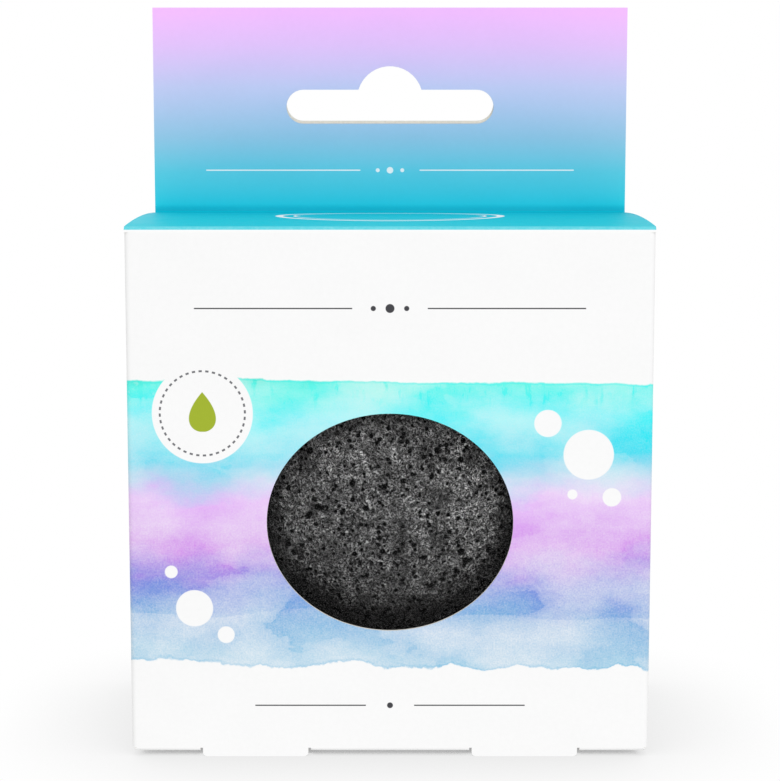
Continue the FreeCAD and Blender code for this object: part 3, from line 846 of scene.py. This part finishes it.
def cast_dome(ball):
    """Moves the points of a ball onto the dome, closer together where the window shows them."""
    out, along = dome_profile()
    run = np.hypot(np.diff(out), np.diff(along))
    middle = (out[1:] + out[:-1]) / 2
    seen = (1 - ease(middle, SEEN_RADIUS - 2, SEEN_RADIUS + 4)) * (along[1:] < WIDEST)
    amount = np.concatenate([[0], np.cumsum(run * middle * (1 + (SEEN_WEIGHT - 1) * seen))])
    share = (1 + ball[:, 1]) / 2
    spot = np.interp(share, amount / amount[-1], np.arange(len(out)))
    reach = np.interp(spot, np.arange(len(out)), out)
    aside = np.maximum(np.hypot(ball[:, 0], ball[:, 2]), 1e-9)
    place = np.empty_like(ball)
    place[:, 0] = reach * ball[:, 0] / aside
    place[:, 1] = np.interp(spot, np.arange(len(out)), along)
    place[:, 2] = SPONGE_AXIS + reach * ball[:, 2] / aside
    return place


def pore_depth(place):
    """How deep the round pores go at each point, and how far their lips stand up. Of each kind
    there are so many pores, with radii between its two."""
    tree = kdtree.KDTree(len(place))
    for i, spot in enumerate(place):
        tree.insert(spot, i)
    tree.balance()
    depth = np.zeros(len(place))
    lip = np.zeros(len(place))
    chance = np.where(place[:, 1] < SPONGE_BACK - 14, 1.0, 0.8)
    for size_low, size_high, count in PORE_KINDS:
        spots = rng.choice(len(place), count, replace=False, p=chance / chance.sum())
        sizes = rng.uniform(size_low, size_high, count)
        slants = rng.normal(0, 0.35, (count, 3))
        for spot, size, slant in zip(spots, sizes, slants):
            middle = place[spot]
            for _, i, gap in tree.find_range(middle, size * 1.5):
                reach = abs(gap / size * (1 + slant @ (place[i] - middle) / size * 0.6))
                hollow = 1.25 * size * (1 - min(reach, 1) ** 2.5)
                depth[i] = max(depth[i], hollow)
                lip[i] = max(lip[i], LIP_HEIGHT * max(0, 1 - abs(reach - 1.12) / 0.3))
    return depth, lip


def web_depth(place):
    """How deep the small cells go between the ridges of the web, from 0 on a ridge to 1, and the
    soft lumps of the whole form, about 0."""
    cells = np.empty(len(place))
    lumps = np.empty(len(place))
    for i, spot in enumerate(place):
        near = noise.voronoi(Vector(spot) * 1.9 + noise.noise_vector(spot * 1.1) * 0.5)[0]
        cells[i] = near[1] - near[0]
        lumps[i] = noise.fractal(spot * 0.13, 0.8, 2.1, 3)
    return ease(cells, 0.02, 0.55), lumps


bm = bmesh.new()
bmesh.ops.create_icosphere(bm, subdivisions=SPONGE_LEVELS, radius=1)
foam_mesh = bpy.data.meshes.new("sponge")
bm.to_mesh(foam_mesh)
bm.free()
ball = np.empty(len(foam_mesh.vertices) * 3)
foam_mesh.vertices.foreach_get("co", ball)
dome = cast_dome(ball.reshape(-1, 3))
foam_mesh.vertices.foreach_set("co", dome.ravel())
foam_mesh.update()
out = np.empty(len(dome) * 3)
foam_mesh.vertex_normals.foreach_get("vector", out)
out = out.reshape(-1, 3)

pores, lips = pore_depth(dome)
cells, lumps = web_depth(dome)
softness = 0.5 + 0.5 * ease(lumps, -0.4, 0.5)
sunk = SKIN_DEPTH + LUMP_DEPTH * lumps + WEB_DEPTH * cells * softness + pores - lips
sunk = np.maximum(sunk, 0)
foam_mesh.vertices.foreach_set("co", ((dome - out * sunk[:, None]) * MM).ravel())
for name, value in (("pore", np.clip(pores / 0.45, 0, 1)), ("cell", cells)):
    layer = foam_mesh.attributes.new(name, "FLOAT", "POINT")
    layer.data.foreach_set("value", value.astype(np.float32))
foam_mesh.update()
foam_mesh.shade_smooth()
sponge = bpy.data.objects.new("sponge_foam", foam_mesh)
scene.collection.objects.link(sponge)


def bend(place, scale, reach):
    """The place, moved aside a little by soft noise, so that a pattern on it turns and winds."""
    drift = place.node("TexNoise", {"Vector": place, "Scale": scale, "Detail": 1}, 1)
    aside = drift.vector_maths("SUBTRACT", (0.5, 0.5, 0.5))
    return place.vector_maths("ADD", aside.vector_maths("MULTIPLY", (reach, reach, reach)))


def threads(place, scale, width):
    """Thin winding lines, which lie where soft noise passes 0."""
    return cloud(place, scale, 0).size().rise(width, 0)


foam, start, shader = new_finish("konjac_foam", Specular_IOR_Level=0.12, Roughness=0.95)
place = place_on(start)
x, y, z = split(place)
pore = start.node("Attribute", out=2, attribute_name="pore")
cell = start.node("Attribute", out=2, attribute_name="cell")
bent = bend(place, 1.0, 1.6)
other = bent.vector_maths("ADD", (31, 17, 23))
# Painted highlights and shade: the raised threads of the web are painted bright, as fibres
# catching the light, and the sunk troughs and pits are painted dark, as shade in them; the mesh's
# ridges are painted a little lighter. Soft patches, flecks and noise vary the tone at random.
strands = threads(bent, 1.9, 0.08).most(threads(bent, 3.0, 0.1) * 0.8)
troughs = threads(other, 1.6, 0.1).most(threads(other, 2.6, 0.12) * 0.8)
pits = start.node("TexVoronoi", {"Vector": place, "Scale": 1.3}).rise(0.22, 0.14)
patches = 0.3 + cloud(place, 0.35, 3).rise(-0.22, 0.22) * 0.5
flecks = 0.4 + cloud(place, 0.8, 2).rise(-0.3, 0.3)
bright = strands * patches * flecks * 1.04 + (1 - cell) * 0.02
bright = bright + cloud(place, 1.4, 2) * 0.13 + 0.045
bright = (bright * (1 - troughs * 0.85) * (1 - pits * 0.7)).most(0)
# Painted light: the foam is painted paler towards its top and towards its right, as if lit from
# above and from the right, and darker towards its foot.
painted_light_from_above, painted_light_from_right = z.rise(8, 50) * 0.55, x.rise(5, 14) * 0.6
bright = bright * (0.53 + painted_light_from_above) * (1 + painted_light_from_right)
tone = bright.over(rgb(14, 14, 15), rgb(255, 255, 255))
# Painted shade: the pores are painted darker with their depth, as shade in the hollows, on top of
# the shade their real depth casts.
tone = pore.rise(0.05, 0.6).over(tone, rgb(8, 8, 9))
# Painted shade: the foam is painted darker towards its rim, behind the window's edge, where the
# board's shadow falls on it.
painted_rim_shade = y.rise(-14.7, -13.3) * 0.75
painted_rim_shade.over(tone, rgb(10, 10, 11)).feed(shader, "Base Color")
emboss(strands * 0.08 - troughs * 0.08 - pits * 0.1, 1.0).feed(shader, "Normal")
foam_mesh.materials.append(foam)
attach(sponge, "sponge")
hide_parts("sponge")
